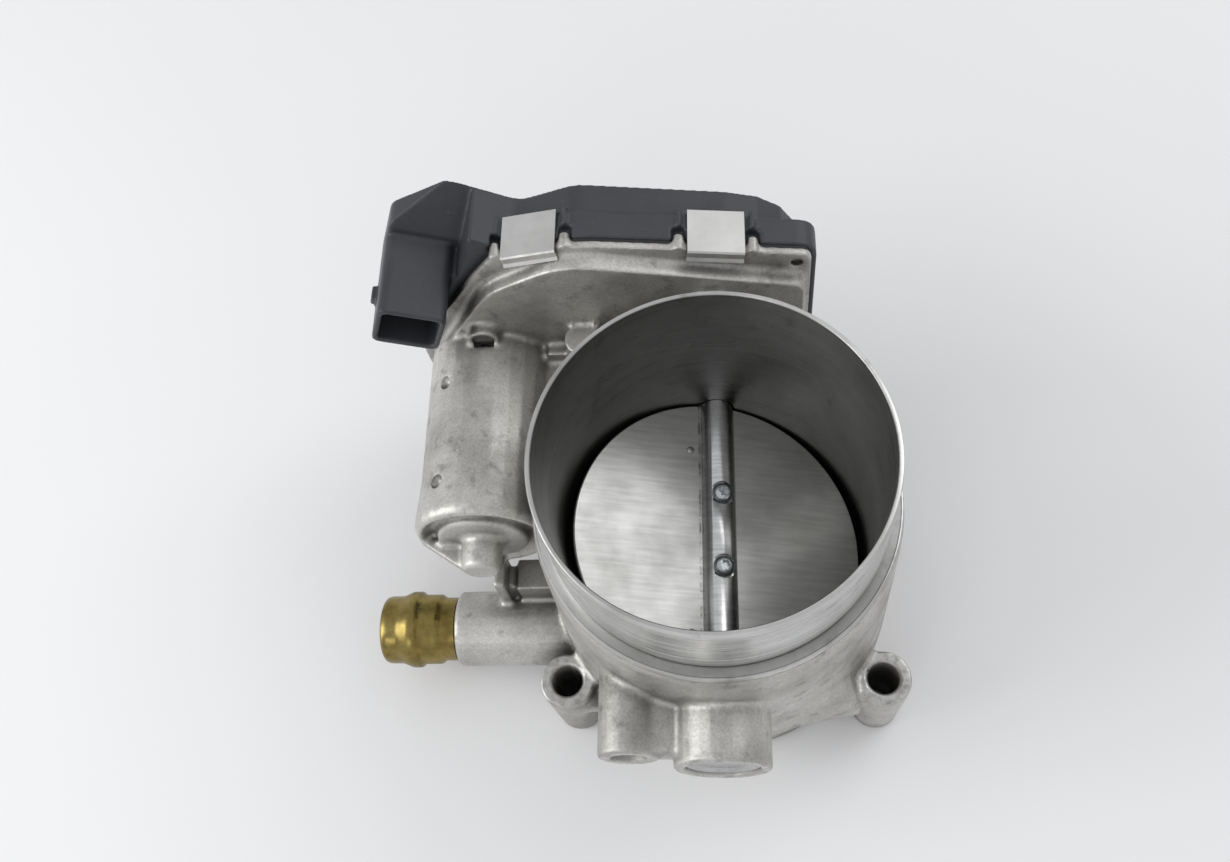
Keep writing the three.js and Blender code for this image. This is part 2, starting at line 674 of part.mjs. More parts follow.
function motorMagnet(name, middle) {
  const reach = THREE.MathUtils.degToRad(62);
  const shape = new THREE.Shape();
  shape.absarc(0, 0, 14.7, middle - reach, middle + reach, false);
  shape.absarc(0, 0, 11.7, middle + reach, middle - reach, true);
  shape.closePath();
  const magnet = meshOf(name, solid(slabY(shape, 12, 48)), LOOKS.magnet);
  magnet.position.set(MOTOR.x, 0, MOTOR.z);
  return magnet;
}

function motorEndPlate() {
  const disc = turnedY(rod(CAN_R, 54.4, 59.5), ROUND_STEPS, MOTOR.x, MOTOR.z);
  const ears = motorScrewPlaces().map(([x, z]) => turnedY(rod(3.6, FLOOR_Y + FIT_GAP, 59.5), SMALL_STEPS, x, z));
  const holes = [
    turnedY(rod(2.5, 54, 60), SMALL_STEPS, MOTOR.x, MOTOR.z),
    ...motorScrewPlaces().map(([x, z]) => turnedY(rod(1.5, 54, 60), 12, x, z)),
  ];
  return meshOf('motor_end_plate', cut(joined([disc, ...ears]), holes), LOOKS.rubber);
}

function motorScrews() {
  return motorScrewPlaces().map(([x, z], i) => {
    const profile = [[0, 57.2], [1.2, 57.2], [1.2, 59.8], [2.6, 59.8], [2.6, 60.4], [0, 60.4]];
    return meshOf(`motor_screw_${i + 1}`, solid(turnedY(profile, 12, x, z)), LOOKS.steel);
  });
}

function motorTerminals() {
  return [-1, 1].map((side, i) => {
    const z = MOTOR.z + side * 8;
    const blade = block([MOTOR.x - 9.5, MOTOR.x - 6.5], [59.8, 71], [z - 0.4, z + 0.4]);
    return meshOf(`motor_terminal_${i + 1}`, solid(blade), LOOKS.copper);
  });
}

function motorPinion() {
  const pinion = meshOf('motor_pinion', solid(slabY(gearShape(PINION, MOTOR_TO_LAYSHAFT, 2.3), 60.8, 66)), LOOKS.brass);
  pinion.position.set(MOTOR.x, 0, MOTOR.z);
  return pinion;
}

function motorParts() {
  const can = [
    [2.4, -3], [3.2, -3], [3.2, 6], [CAN_R, 6], [CAN_R, 54], [CAN_R - 0.8, 54],
    [CAN_R - 0.8, 6.8], [2.4, 6.8], [2.4, -3],
  ];
  const rotor = [[0, -2.5], [2, -2.5], [2, 14], [11, 14], [11, 46], [2, 46], [2, 66.6], [0, 66.6]];
  return [
    motorTurned('motor_wave_washer', ring(8, 14, 5.2, 5.7), SMALL_STEPS, LOOKS.steel),
    motorTurned('motor_can', can, ROUND_STEPS, LOOKS.darkSteel),
    motorMagnet('motor_magnet_left', Math.PI),
    motorMagnet('motor_magnet_right', 0),
    motorTurned('motor_rotor', rotor, SMALL_STEPS, LOOKS.darkSteel),
    motorTurned('motor_commutator', ring(2.3, 5, 48, 53.4), SMALL_STEPS, LOOKS.copper),
    motorEndPlate(),
    ...motorScrews(),
    ...motorTerminals(),
    motorPinion(),
  ];
}

// ---------- cover ----------

function socketBox(width, height, radius) {
  const [w, h] = [width / 2, height / 2];
  return roundedShape([[w, -h, radius], [w, h, radius], [-w, h, radius], [-w, -h, radius]]);
}

function inSocket(geometry) {
  return geometry.rotateY(SOCKET.tilt).translate(SOCKET.x, 0, SOCKET.z);
}

function socketShell() {
  return inSocket(slabY(socketBox(SOCKET.width, SOCKET.height, 2.5), SOCKET.frontY, STEP_BACK_Y));
}

function socketHollow() {
  const [w, h] = [SOCKET.width - 2 * SOCKET_WALL, SOCKET.height - 2 * SOCKET_WALL];
  return inSocket(slabY(socketBox(w, h, 1.4), SOCKET.frontY - 1, SOCKET.floorY));
}

function latchTab() {
  const side = -SOCKET.width / 2;
  return inSocket(block([side - 1.6, side + 0.8], [57, 61.5], [-3.4, -0.4]));
}

function pinPlaces() {
  return [-1, 1].flatMap((row) => [-1, 0, 1].map((column) => [column * 4.4, row * 2.8]));
}

function connectorPins() {
  return pinPlaces().map(([x, z], i) => {
    const pin = inSocket(block([x - 0.5, x + 0.5], [58, 71], [z - 0.5, z + 0.5]));
    return meshOf(`connector_pin_${i + 1}`, solid(pin), LOOKS.copper);
  });
}

function clipPockets() {
  const half = CLIP_WIDTH / 2 + FIT_GAP;
  return CLIPS.map((clip) => onEdge(clip, block([-half, half], [COVER_BAND_Y, 73.7], [-3.2, 6])));
}

// Raised ribs of the cover on both sides of each clip.
function clipRibs() {
  const near = CLIP_WIDTH / 2 + 1.6;
  return CLIPS.flatMap((clip) => [-1, 1].map((side) => {
    const reach = [side * near, side * (near + 1.2)].sort((a, b) => a - b);
    return onEdge(clip, block(reach, [66, 73.6], [-1.6, 1]));
  }));
}

function clipClearance() {
  const half = CLIP_WIDTH / 2 + FIT_GAP;
  return CLIPS.map((clip) => onEdge(clip, block([-half, half], [COVER_Y - 1, 73.7], [-0.15, 6])));
}

// The block behind the connector slopes forward from its top edge to a low step above the shroud.
function coverBack() {
  const [top, left] = [SOCKET.height / 2, -SOCKET.width / 2];
  const [front, back] = [COVER_Y - 4, COVER_BACK_Y + 0.2];
  const slope = polygon([
    [front, top - 2], [STEP_FRONT_Y, top - 2], [STEP_FRONT_Y, top + STEP_RISE], [back, PEAK_RISE],
    [back, 45],
    [front, 45],
  ]);
  const beside = polygon([[front, -40], [STEP_FRONT_Y, -40], [STEP_FRONT_Y, top - 1], [front, top - 1]]);
  const tools = [inSocket(slabX(slope, -18, STEP_END_X)), inSocket(slabX(beside, -18, left + 1))];
  return cut(solid(slabY(roundedShape(BACK_OUTLINE), COVER_Y, COVER_BACK_Y)), tools);
}

function gearCover() {
  const outside = joined([
    slabY(roundedShape(BAND_OUTLINE), COVER_Y, COVER_BAND_Y),
    socketShell(),
    latchTab(),
    ...clipRibs(),
  ]).add(coverBack());
  const hollow = solid(slabY(roundedShape(inset(LIP_OUTLINE, COVER_WALL)), COVER_Y - 1, COVER_CEILING_Y))
    .intersect(solid(slabY(roundedShape(inset(BACK_OUTLINE, COVER_WALL)), COVER_Y - 1, COVER_CEILING_Y)));
  const pinBoss = solid(turnedY(rod(4.4, 74.6, COVER_CEILING_Y + 0.5), SMALL_STEPS, LAYSHAFT.x, LAYSHAFT.z));
  const pinHole = turnedY(rod(2.8, 74, 77.4), SMALL_STEPS, LAYSHAFT.x, LAYSHAFT.z);
  const pinSlots = pinPlaces().map(([x, z]) => inSocket(block([x - 0.8, x + 0.8], [66, 71.4],
  [z - 0.8, z + 0.8])));
  const shell = cut(outside.subtract(hollow).add(pinBoss), [
    pinHole, socketHollow(), ...pinSlots, ...clipPockets(), ...clipClearance(), ...posts(1.9, COVER_Y - 1, 68),
  ]);
  return meshOf('gear_cover', shell, LOOKS.cover);
}

function coverGasket() {
  const shape = roundedShape(inset(LIP_OUTLINE, 0.6));
  shape.holes.push(roundedShape(inset(LIP_OUTLINE, 2.6)));
  const sheet = solid(slabY(shape, SEAM_Y + 0.05, COVER_Y - 0.05));
  return meshOf('cover_gasket', cut(sheet, posts(1.9, SEAM_Y - 1, COVER_Y + 1)), LOOKS.rubber);
}

function springClip(clip) {
  const profile = polygon([
    [59, -2.3], [59.6, -1.4], [59.6, 0.6], [60, 1.05], [72.9, 1.05], [73.3, 0.6], [73.3, -2.6],
    [72.5, -2.6],
    [72.5, 0.25], [60.4, 0.25], [60.4, -1.6], [59.9, -2.3],
  ]);
  const strip = new THREE.ExtrudeGeometry(profile, { depth: CLIP_WIDTH, bevelEnabled: false });
  strip.translate(0, 0, -CLIP_WIDTH / 2).rotateX(Math.PI / 2).rotateZ(Math.PI / 2);
  const mesh = meshOf(clip.name, solid(strip), LOOKS.steel);
  const { x, z, turn } = edgeFrame(clip);
  mesh.position.set(x, 0, z);
  mesh.rotation.y = turn;
  return mesh;
}

function sensorBoard() {
  const outline = roundedShape([[16, 42, 2], [16, 74, 2], [-14, 74, 2], [-14, 42, 2]]);
  return meshOf('sensor_board', solid(slabY(outline, 77.2, 78.6)), LOOKS.board);
}

// ---------- assembly ----------

function assembly() {
  const group = new THREE.Group();
  group.add(throttleBody(), hoseNipple(), ...bearingsAndSeals(), flapGroup(), ...gearTrainEnd());
  group.add(layshaftPin(), intermediateGear(), ...motorParts());
  group.add(gearCover(), coverGasket(), sensorBoard(), ...connectorPins(), ...CLIPS.map(springClip));
  const box = new THREE.Box3().setFromObject(group);
  const middle = box.getCenter(new THREE.Vector3());
  group.position.set(-middle.x, -middle.y, -box.min.z);
  return group;
}

export default assembly();
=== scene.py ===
# Looks for the throttle body: cast and machined metal, moulded cover, clips, screws and hose nipple,
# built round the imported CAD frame. Metres; sizes in millimetres are turned into metres with MM.

import json
import math

import bmesh
import bpy
from mathutils import Matrix, Vector


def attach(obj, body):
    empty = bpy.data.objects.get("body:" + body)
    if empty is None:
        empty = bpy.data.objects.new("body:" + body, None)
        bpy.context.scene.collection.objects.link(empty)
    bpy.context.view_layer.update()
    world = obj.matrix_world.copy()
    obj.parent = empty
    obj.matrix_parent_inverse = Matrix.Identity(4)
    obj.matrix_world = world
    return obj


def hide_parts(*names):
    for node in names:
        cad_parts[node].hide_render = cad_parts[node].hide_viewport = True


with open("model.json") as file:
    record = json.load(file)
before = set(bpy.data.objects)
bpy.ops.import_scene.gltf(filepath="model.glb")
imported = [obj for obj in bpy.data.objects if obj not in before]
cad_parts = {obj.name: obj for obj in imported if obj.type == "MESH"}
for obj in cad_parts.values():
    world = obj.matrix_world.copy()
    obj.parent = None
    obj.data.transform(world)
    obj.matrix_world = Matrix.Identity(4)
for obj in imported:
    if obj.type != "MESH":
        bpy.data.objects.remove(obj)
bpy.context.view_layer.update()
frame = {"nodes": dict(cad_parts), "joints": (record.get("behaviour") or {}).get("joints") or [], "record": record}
RECORD = frame["record"]
NODES = frame["nodes"]

MM = 0.001


# ---------- places read from the frame ----------

def joint_named(name):
    return next(j for j in frame["joints"] if j["name"] == name)


THROTTLE_AXIS = Vector(joint_named("throttle_turn")["pos_m"])
MOTOR_AXIS = Vector(joint_named("motor_turn")["pos_m"])
BORE = Vector((THROTTLE_AXIS.x, THROTTLE_AXIS.y, 0.0))
REST_TILT = math.radians(19.0)

LUG_Z = 33.0 * MM

# Places in the bore frame, in millimetres: origin on the bore axis at the flange face.
SHAFT_HEIGHT = 57
NIPPLE_PLACE = (-12.9, 19.3)  # y, z of its axis
PORT_X = -24
LUG_X, LUG_Y = 44.4, 32.6
DIMPLE_YS = (11.5, 42.0)
COLLAR_R = 43.9
BARREL_TOP = 86  # the casting ends here and the machined bore piece goes on
COLLAR_GROOVES = (95.4, 105.4, 112.0)
BOLT_HOLE_R, BOLT_MOUTH_R = 4.4, 5.1


# ---------- mesh helpers ----------

def link(name, mesh):
    piece = bpy.data.objects.new(name, mesh)
    bpy.context.scene.collection.objects.link(piece)
    return piece


def mesh_from(name, vertices, faces):
    mesh = bpy.data.meshes.new(name)
    mesh.from_pydata([tuple(v) for v in vertices], [], faces)
    mesh.validate()
    return link(name, mesh)


def fix_normals(piece):
    bm = bmesh.new()
    bm.from_mesh(piece.data)
    bmesh.ops.recalc_face_normals(bm, faces=bm.faces)
    bm.to_mesh(piece.data)
    bm.free()
    return piece


def evaluated(piece):
    """Applies the modifiers of a piece and takes them off it."""
    depsgraph = bpy.context.evaluated_depsgraph_get()
    mesh = bpy.data.meshes.new_from_object(piece.evaluated_get(depsgraph))
    piece.modifiers.clear()
    old = piece.data
    piece.data = mesh
    bpy.data.meshes.remove(old)
    return piece


def modified(piece, kind, **settings):
    modifier = piece.modifiers.new(kind, kind)
    for key, value in settings.items():
        setattr(modifier, key, value)
    return modifier


def lathe(name, profile, segments, axis="Z", centre=(0, 0, 0)):
    """Turned solid: profile is a closed loop of [radius, distance along the axis], in metres."""
    vertices, faces = [], []
    count = len(profile)
    for i in range(segments):
        angle = 2 * math.pi * i / segments
        for radius, along in profile:
            u, v = radius * math.cos(angle), radius * math.sin(angle)
            spot = {"X": (along, u, v), "Y": (u, along, v), "Z": (u, v, along)}[axis]
            vertices.append(Vector(spot) + Vector(centre))
    for i in range(segments):
        for j in range(count):
            k, after = (i + 1) % segments, (j + 1) % count
            faces.append((i * count + j, k * count + j, k * count + after, i * count + after))
    piece = mesh_from(name, vertices, faces)
    bm = bmesh.new()
    bm.from_mesh(piece.data)
    bmesh.ops.remove_doubles(bm, verts=bm.verts, dist=1e-7)
    bmesh.ops.dissolve_degenerate(bm, edges=bm.edges, dist=1e-7)
    bmesh.ops.recalc_face_normals(bm, faces=bm.faces)
    bm.to_mesh(piece.data)
    bm.free()
    return piece


def prism(name, outline, low, high):
    """Straight solid on an outline of (x, y) points, between two heights."""
    count = len(outline)
    spots = []
    for height in (low, high):
        spots += [(x, y, height) for x, y in outline]
    faces = [tuple(range(count)), tuple(range(count, 2 * count))]
    faces += [(i, (i + 1) % count, count + (i + 1) % count, count + i) for i in range(count)]
    return fix_normals(mesh_from(name, spots, faces))


def cut_away(piece, tools):
    """Subtracts each tool from the piece and removes it."""
    for tool in tools:
        modified(piece, "BOOLEAN", operation="DIFFERENCE", solver="MANIFOLD", object=tool)
        evaluated(piece)
        old = tool.data
        bpy.data.objects.remove(tool)
        bpy.data.meshes.remove(old)
    piece.data.materials.clear()  # the tools leave an empty slot behind
    return piece


def smooth_by_angle(piece, degrees):
    """Smooth shading that stays crisp at edges sharper than the given angle."""
    for polygon in piece.data.polygons:
        polygon.use_smooth = True
    bm = bmesh.new()
    bm.from_mesh(piece.data)
    limit = math.radians(degrees)
    for edge in bm.edges:
        edge.smooth = len(edge.link_faces) == 2 and edge.calc_face_angle(0.0) < limit
    bm.to_mesh(piece.data)
    bm.free()
    return piece


def bevelled(piece, width, segments=2, degrees=30):
    modified(piece, "BEVEL", width=width, segments=segments, limit_method="ANGLE",
        angle_limit=math.radians(degrees),
             use_clamp_overlap=True)
    return evaluated(piece)


def copy_of_node(name, node):
    return link(name, NODES[node].data.copy())


def remeshed(piece, voxel):
    modified(piece, "REMESH", mode="VOXEL", voxel_size=voxel)
    return evaluated(piece)


def softened(piece, rounds):
    modified(piece, "SMOOTH", factor=0.5, iterations=rounds)
    return evaluated(piece)


def displaced(piece, distance):
    modified(piece, "DISPLACE", strength=distance, mid_level=0.0)
    return evaluated(piece)


# ---------- material nodes ----------

def shader(name):
    material = bpy.data.materials.new(name)
    material.use_nodes = True
    nodes = material.node_tree.nodes
    return material, nodes, material.node_tree.links, nodes["Principled BSDF"]


def noise(nodes, links, scale, detail=4.0, rough=0.55, stretch=None):
    """Noise in object space; scale is in features per metre."""
    place = nodes.new("ShaderNodeTexCoord")
    source = place.outputs["Object"]
    if stretch:
        mapping = nodes.new("ShaderNodeMapping")
        mapping.inputs["Scale"].default_value = stretch
        links.new(source, mapping.inputs["Vector"])
        source = mapping.outputs["Vector"]
    texture = nodes.new("ShaderNodeTexNoise")
    texture.inputs["Scale"].default_value = scale
    texture.inputs["Detail"].default_value = detail
    texture.inputs["Roughness"].default_value = rough
    links.new(source, texture.inputs["Vector"])
    return texture.outputs["Fac"]


def ramp(nodes, links, source, stops):
    """Maps a value to a colour through (position, colour or grey) stops."""
    node = nodes.new("ShaderNodeValToRGB")
    elements = node.color_ramp.elements
    while len(elements) < len(stops):
        elements.new(0.5)
    for element, (position, colour) in zip(elements, stops):
        element.position = position
        element.color = (colour, colour, colour, 1) if isinstance(colour, float) else (*colour, 1)
    links.new(source, node.inputs["Fac"])
    return node.outputs["Color"]


def mixed(nodes, links, factor, first, second, blend="MIX"):
    node = nodes.new("ShaderNodeMix")
    node.data_type = "RGBA"
    node.blend_type = blend
    for socket, value in ((0, factor), (6, first), (7, second)):
        if isinstance(value, bpy.types.NodeSocket):
            links.new(value, node.inputs[socket])
        elif socket == 0:
            node.inputs[socket].default_value = value
        else:
            node.inputs[socket].default_value = (*value, 1)
    return node.outputs[2]


def bumped(nodes, links, bsdf, layers):
    """Adds bumps: each layer is (height source, depth in metres)."""
    previous = None
    for height, depth in layers:
        node = nodes.new("ShaderNodeBump")
        node.inputs["Strength"].default_value = 1.0
        node.inputs["Distance"].default_value = depth
        links.new(height, node.inputs["Height"])
        if previous:
            links.new(previous, node.inputs["Normal"])
        previous = node.outputs["Normal"]
    links.new(previous, bsdf.inputs["Normal"])


def height_in_part(nodes, links, axis):
    place = nodes.new("ShaderNodeTexCoord")
    split = nodes.new("ShaderNodeSeparateXYZ")
    links.new(place.outputs["Object"], split.inputs[0])
    return split.outputs[axis]


def distance_from_axis(nodes, links):
    """Distance from the Z axis of the piece, in metres."""
    place = nodes.new("ShaderNodeTexCoord")
    flat = nodes.new("ShaderNodeMapping")
    flat.inputs["Scale"].default_value = (1, 1, 0)
    length = nodes.new("ShaderNodeVectorMath")
    length.operation = "LENGTH"
    links.new(place.outputs["Object"], flat.inputs["Vector"])
    links.new(flat.outputs["Vector"], length.inputs[0])
    return length.outputs["Value"]


def scaled(nodes, links, source, low, high):
    node = nodes.new("ShaderNodeMapRange")
    node.inputs["From Min"].default_value = low
    node.inputs["From Max"].default_value = high
    links.new(source, node.inputs["Value"])
    return node.outputs["Result"]


def crevices(nodes, links, reach):
    """0 in tight corners, 1 in the open."""
    node = nodes.new("ShaderNodeAmbientOcclusion")
    node.samples = 6
    node.inputs["Distance"].default_value = reach
    return node.outputs["AO"]


def sharpness(nodes):
    return nodes.new("ShaderNodeNewGeometry").outputs["Pointiness"]


# ---------- materials ----------

def cast_aluminium():
    material, nodes, links, bsdf = shader("cast_aluminium")
    cloudy = ramp(nodes, links, noise(nodes, links, 38, 6, 0.62),
                  [(0.30, (0.30, 0.29, 0.27)), (0.50, (0.49, 0.478, 0.452)), (0.72, (0.64, 0.628, 0.60))])
    stains = ramp(nodes, links, noise(nodes, links, 190, 5, 0.6), [(0.33, 0.45), (0.44, 1.0)])
    speckle = ramp(nodes, links, noise(nodes, links, 1500, 3, 0.6), [(0.30, 0.80), (0.62, 1.10)])
    # Painted shade: ambient occlusion darkens the casting in its corners and recesses, where shade falls.
    painted_crevice_shade = ramp(nodes, links, crevices(nodes, links, 9 * MM), [(0.20, 0.20), (0.85, 1.0)])
    colour = mixed(nodes, links, 0.55, cloudy, stains, "MULTIPLY")
    colour = mixed(nodes, links, 0.8, colour, speckle, "MULTIPLY")
    colour = mixed(nodes, links, 1.0, colour, painted_crevice_shade, "MULTIPLY")
    edges = ramp(nodes, links, sharpness(nodes), [(0.52, 0.0), (0.60, 0.55)])
    colour = mixed(nodes, links, edges, colour, (0.60, 0.59, 0.57))
    links.new(colour, bsdf.inputs["Base Color"])
    bsdf.inputs["Metallic"].default_value = 0.85
    rough = ramp(nodes, links, noise(nodes, links, 90, 4), [(0.3, 0.38), (0.7, 0.56)])
    links.new(rough, bsdf.inputs["Roughness"])
    bumped(nodes, links, bsdf, [
        (noise(nodes, links, 260, 5, 0.6), 0.10 * MM), (noise(nodes, links, 1500, 3, 0.65), 0.05 * MM),
    ])
    return material


def machined_aluminium():
    material, nodes, links, bsdf = shader("machined_aluminium")
    turned = noise(nodes, links, 30, 4, 0.6, stretch=(0.25, 0.25, 48))
    cloudy = ramp(nodes, links, noise(nodes, links, 32, 5, 0.6),
                  [(0.32, (0.42, 0.42, 0.40)), (0.55, (0.60, 0.60, 0.585)), (0.75, (0.72, 0.72, 0.705))])
    rings = ramp(nodes, links, turned, [(0.30, 0.72), (0.62, 1.08)])
    stains = ramp(nodes, links, noise(nodes, links, 120, 5, 0.65), [(0.30, 0.62), (0.43, 1.0)])
    colour = mixed(nodes, links, 0.8, cloudy, rings, "MULTIPLY")
    colour = mixed(nodes, links, 0.6, colour, stains, "MULTIPLY")
    # Painted shade: the wall inside the bore, nearer the axis than about 42.7 mm, is darkened to 0.42 of its
    # colour.
    outside = scaled(nodes, links, distance_from_axis(nodes, links), 42.65 * MM, 42.85 * MM)
    painted_bore_shade = ramp(nodes, links, outside, [(0.0, 0.42), (1.0, 1.0)])
    colour = mixed(nodes, links, 1.0, colour, painted_bore_shade, "MULTIPLY")
    links.new(colour, bsdf.inputs["Base Color"])
    bsdf.inputs["Metallic"].default_value = 1.0
    links.new(ramp(nodes, links, turned, [(0.3, 0.24), (0.7, 0.42)]), bsdf.inputs["Roughness"])
    bumped(nodes, links, bsdf, [(turned, 0.03 * MM), (noise(nodes, links, 900, 3), 0.01 * MM)])
    return material


def faced_aluminium():
    """Flat machined faces of the casting: lug tops and boss ends."""
    material, nodes, links, bsdf = shader("faced_aluminium")
    marks = noise(nodes, links, 420, 5, 0.65)
    colour = ramp(nodes, links, marks, [(0.30, (0.30, 0.295, 0.28)), (0.58, (0.56, 0.555, 0.54))])
    links.new(colour, bsdf.inputs["Base Color"])
    bsdf.inputs["Metallic"].default_value = 1.0
    links.new(ramp(nodes, links, marks, [(0.3, 0.5), (0.7, 0.3)]), bsdf.inputs["Roughness"])
    bumped(nodes, links, bsdf, [(marks, 0.04 * MM)])
    return material


def plate_aluminium():
    material, nodes, links, bsdf = shader("plate_aluminium")
    scratches = noise(nodes, links, 60, 5, 0.6, stretch=(1, 14, 1))
    cloudy = noise(nodes, links, 45, 5, 0.6)
    colour = ramp(nodes, links, cloudy, [(0.30, (0.58, 0.575, 0.555)), (0.65, (0.74, 0.74, 0.72))])
    grey = ramp(nodes, links, scratches, [(0.30, 0.84), (0.65, 1.06)])
    colour = mixed(nodes, links, 1.0, colour, grey, "MULTIPLY")
    beside = scaled(nodes, links, height_in_part(nodes, links, "X"), -6.4 * MM, -4.4 * MM)
    line = ramp(nodes, links, beside, [(0.25, 0.0), (0.5, 1.0), (0.75, 0.0)])
    broken = ramp(nodes, links, noise(nodes, links, 300, 5, 0.7), [(0.42, 0.0), (0.58, 0.9)])
    deposit = mixed(nodes, links, 1.0, line, broken, "MULTIPLY")
    colour = mixed(nodes, links, deposit, colour, (0.07, 0.07, 0.035))
    links.new(colour, bsdf.inputs["Base Color"])
    bsdf.inputs["Metallic"].default_value = 0.95
    links.new(ramp(nodes, links, cloudy, [(0.3, 0.50), (0.7, 0.38)]), bsdf.inputs["Roughness"])
    bumped(nodes, links, bsdf, [(scratches, 0.015 * MM), (noise(nodes, links, 1100, 3), 0.012 * MM)])
    return material


def metal(name, dark, light, rough, grain=700, stretch=None, depth=0.015):
    """Plain metal with slight colour variation and a fine grain."""
    material, nodes, links, bsdf = shader(name)
    shade = noise(nodes, links, 110, 5, 0.6, stretch)
    links.new(ramp(nodes, links, shade, [(0.32, dark), (0.68, light)]), bsdf.inputs["Base Color"])
    bsdf.inputs["Metallic"].default_value = 1.0
    fine = noise(nodes, links, grain, 4, 0.6, stretch)
    links.new(ramp(nodes, links, fine, [(0.3, rough * 0.8), (0.7, rough * 1.25)]), bsdf.inputs["Roughness"])
    bumped(nodes, links, bsdf, [(fine, depth * MM)])
    return material


def nipple_brass():
    material, nodes, links, bsdf = shader("nipple_brass")
    cloudy = ramp(nodes, links, noise(nodes, links, 130, 6, 0.65),
                  [(0.30, (0.16, 0.115, 0.035)), (0.50, (0.26, 0.20, 0.065)), (0.70, (0.36, 0.28, 0.10))])
    stains = ramp(nodes, links, noise(nodes, links, 420, 5, 0.7), [(0.30, 0.65), (0.42, 1.0)])
    colour = mixed(nodes, links, 0.6, cloudy, stains, "MULTIPLY")
    links.new(colour, bsdf.inputs["Base Color"])
    bsdf.inputs["Metallic"].default_value = 1.0
    links.new(ramp(nodes, links, noise(nodes, links, 240, 4), [(0.3, 0.22),
        (0.7, 0.42)]), bsdf.inputs["Roughness"])
    turned = noise(nodes, links, 40, 4, 0.6, stretch=(60, 0.3, 0.3))
    bumped(nodes, links, bsdf, [(turned, 0.012 * MM), (noise(nodes, links, 700, 3), 0.008 * MM)])
    return material


def moulded(name, dark, light, rough, grain_depth=0.03):
    """Moulded plastic or rubber with a fine grain and faint handling marks."""
    material, nodes, links, bsdf = shader(name)
    patches = noise(nodes, links, 60, 5, 0.6)
    colour = ramp(nodes, links, patches, [(0.35, dark), (0.70, light)])
    dust = ramp(nodes, links, noise(nodes, links, 900, 4, 0.7), [(0.62, 0.0), (0.72, 0.10)])
    colour = mixed(nodes, links, dust, colour, (0.35, 0.35, 0.34))
    links.new(colour, bsdf.inputs["Base Color"])
    links.new(ramp(nodes, links, patches, [(0.3, rough * 0.88),
        (0.7, rough * 1.12)]), bsdf.inputs["Roughness"])
    bumped(nodes, links, bsdf, [(noise(nodes, links, 1600, 3, 0.6), grain_depth * MM)])
    return material


def floor_white():
    material, nodes, links, bsdf = shader("floor_white")
    colour = ramp(nodes, links, noise(nodes, links, 3, 3), [(0.3, (0.83, 0.83, 0.835)),
        (0.7, (0.86, 0.86, 0.865))])
    links.new(colour, bsdf.inputs["Base Color"])
    bsdf.inputs["Roughness"].default_value = 0.6
    return material


FACED = faced_aluminium()
MACHINED = machined_aluminium()
BY_SLOT = {
    "cast_aluminium": cast_aluminium(),
    "plate_aluminium": plate_aluminium(),
    "shaft_steel": metal("shaft_steel", (0.55, 0.55, 0.55), (0.74, 0.74, 0.74), 0.22, stretch=(1, 12, 1)),
    "clip_steel": metal("clip_steel", (0.58, 0.575, 0.56), (0.68, 0.675, 0.66), 0.40, grain=500),
    "screw_steel": metal("screw_steel", (0.42, 0.45, 0.47), (0.60, 0.63, 0.65), 0.26),
    "bearing_steel": metal("bearing_steel", (0.40, 0.40, 0.40), (0.55, 0.55, 0.55), 0.28),
    "motor_steel": metal("motor_steel", (0.22, 0.22, 0.23), (0.36, 0.36, 0.37), 0.36),
    "spring_wire": metal("spring_wire", (0.08, 0.08, 0.09), (0.20, 0.20, 0.21), 0.32),
    "nipple_brass": nipple_brass(),
    "contact_copper": metal("contact_copper", (0.50, 0.30, 0.16), (0.72, 0.48, 0.30), 0.28),
    "cover_plastic": moulded("cover_plastic", (0.030, 0.033, 0.039), (0.043, 0.047, 0.055), 0.46),
    "gear_plastic": moulded("gear_plastic", (0.66, 0.62, 0.50), (0.76, 0.72, 0.60), 0.42, 0.015),
    "seal_rubber": moulded("seal_rubber", (0.014, 0.014, 0.015), (0.024, 0.024, 0.025), 0.68),
    "board_laminate": moulded("board_laminate", (0.02, 0.14, 0.06), (0.03, 0.20, 0.08), 0.38, 0.01),
    "magnet_ferrite": moulded("magnet_ferrite", (0.06, 0.06, 0.065), (0.11, 0.11, 0.115), 0.6),
}


def dress_nodes():
    for subpart in RECORD["subparts"]:
        piece = NODES[subpart["node"]]
        piece.data.materials.clear()
        piece.data.materials.append(BY_SLOT[subpart["material_slot"]])
        smooth_by_angle_without_edit(piece, 32)


def smooth_by_angle_without_edit(piece, degrees):
    """Marks smooth and sharp on a CAD node; its vertices stay as they are."""
    mesh = piece.data
    mesh.shade_smooth()
    mesh.set_sharp_from_angle(angle=math.radians(degrees))


def finished(piece, slot_name, body="housing", nodes=(), material=None):
    """Gives a new piece its material, picked by slot name unless one is given, parents it to its body and hides
    the CAD nodes it stands for.
    """
    if not piece.data.materials:
        piece.data.materials.append(material or BY_SLOT[slot_name])
    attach(piece, body)
    if nodes:
        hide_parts(*nodes)
    return piece


# ---------- casting ----------

CAST_VOXEL = 0.55 * MM
FILLET = 0.6 * MM


def filleted(piece, voxel, radius, rounds):
    """Closes inner corners to about the given radius, as on a casting, and softens the outer ones."""
    remeshed(piece, voxel)
    displaced(piece, radius)
    remeshed(piece, voxel)
    displaced(piece, -radius)
    return softened(piece, rounds)


def in_bore(x, y, z):
    return (BORE.x + x * MM, BORE.y + y * MM, z * MM)


def drilled(profile, axis, centre, segments=64):
    return lathe("tool", [(r * MM, a * MM) for r, a in profile], segments, axis, centre)


def shaft_tunnel():
    profile = [(0, -44.6), (5.3, -44.6), (5.3, 47.5), (0, 47.5)]
    return drilled(profile, "Y", in_bore(0, 0, SHAFT_HEIGHT))


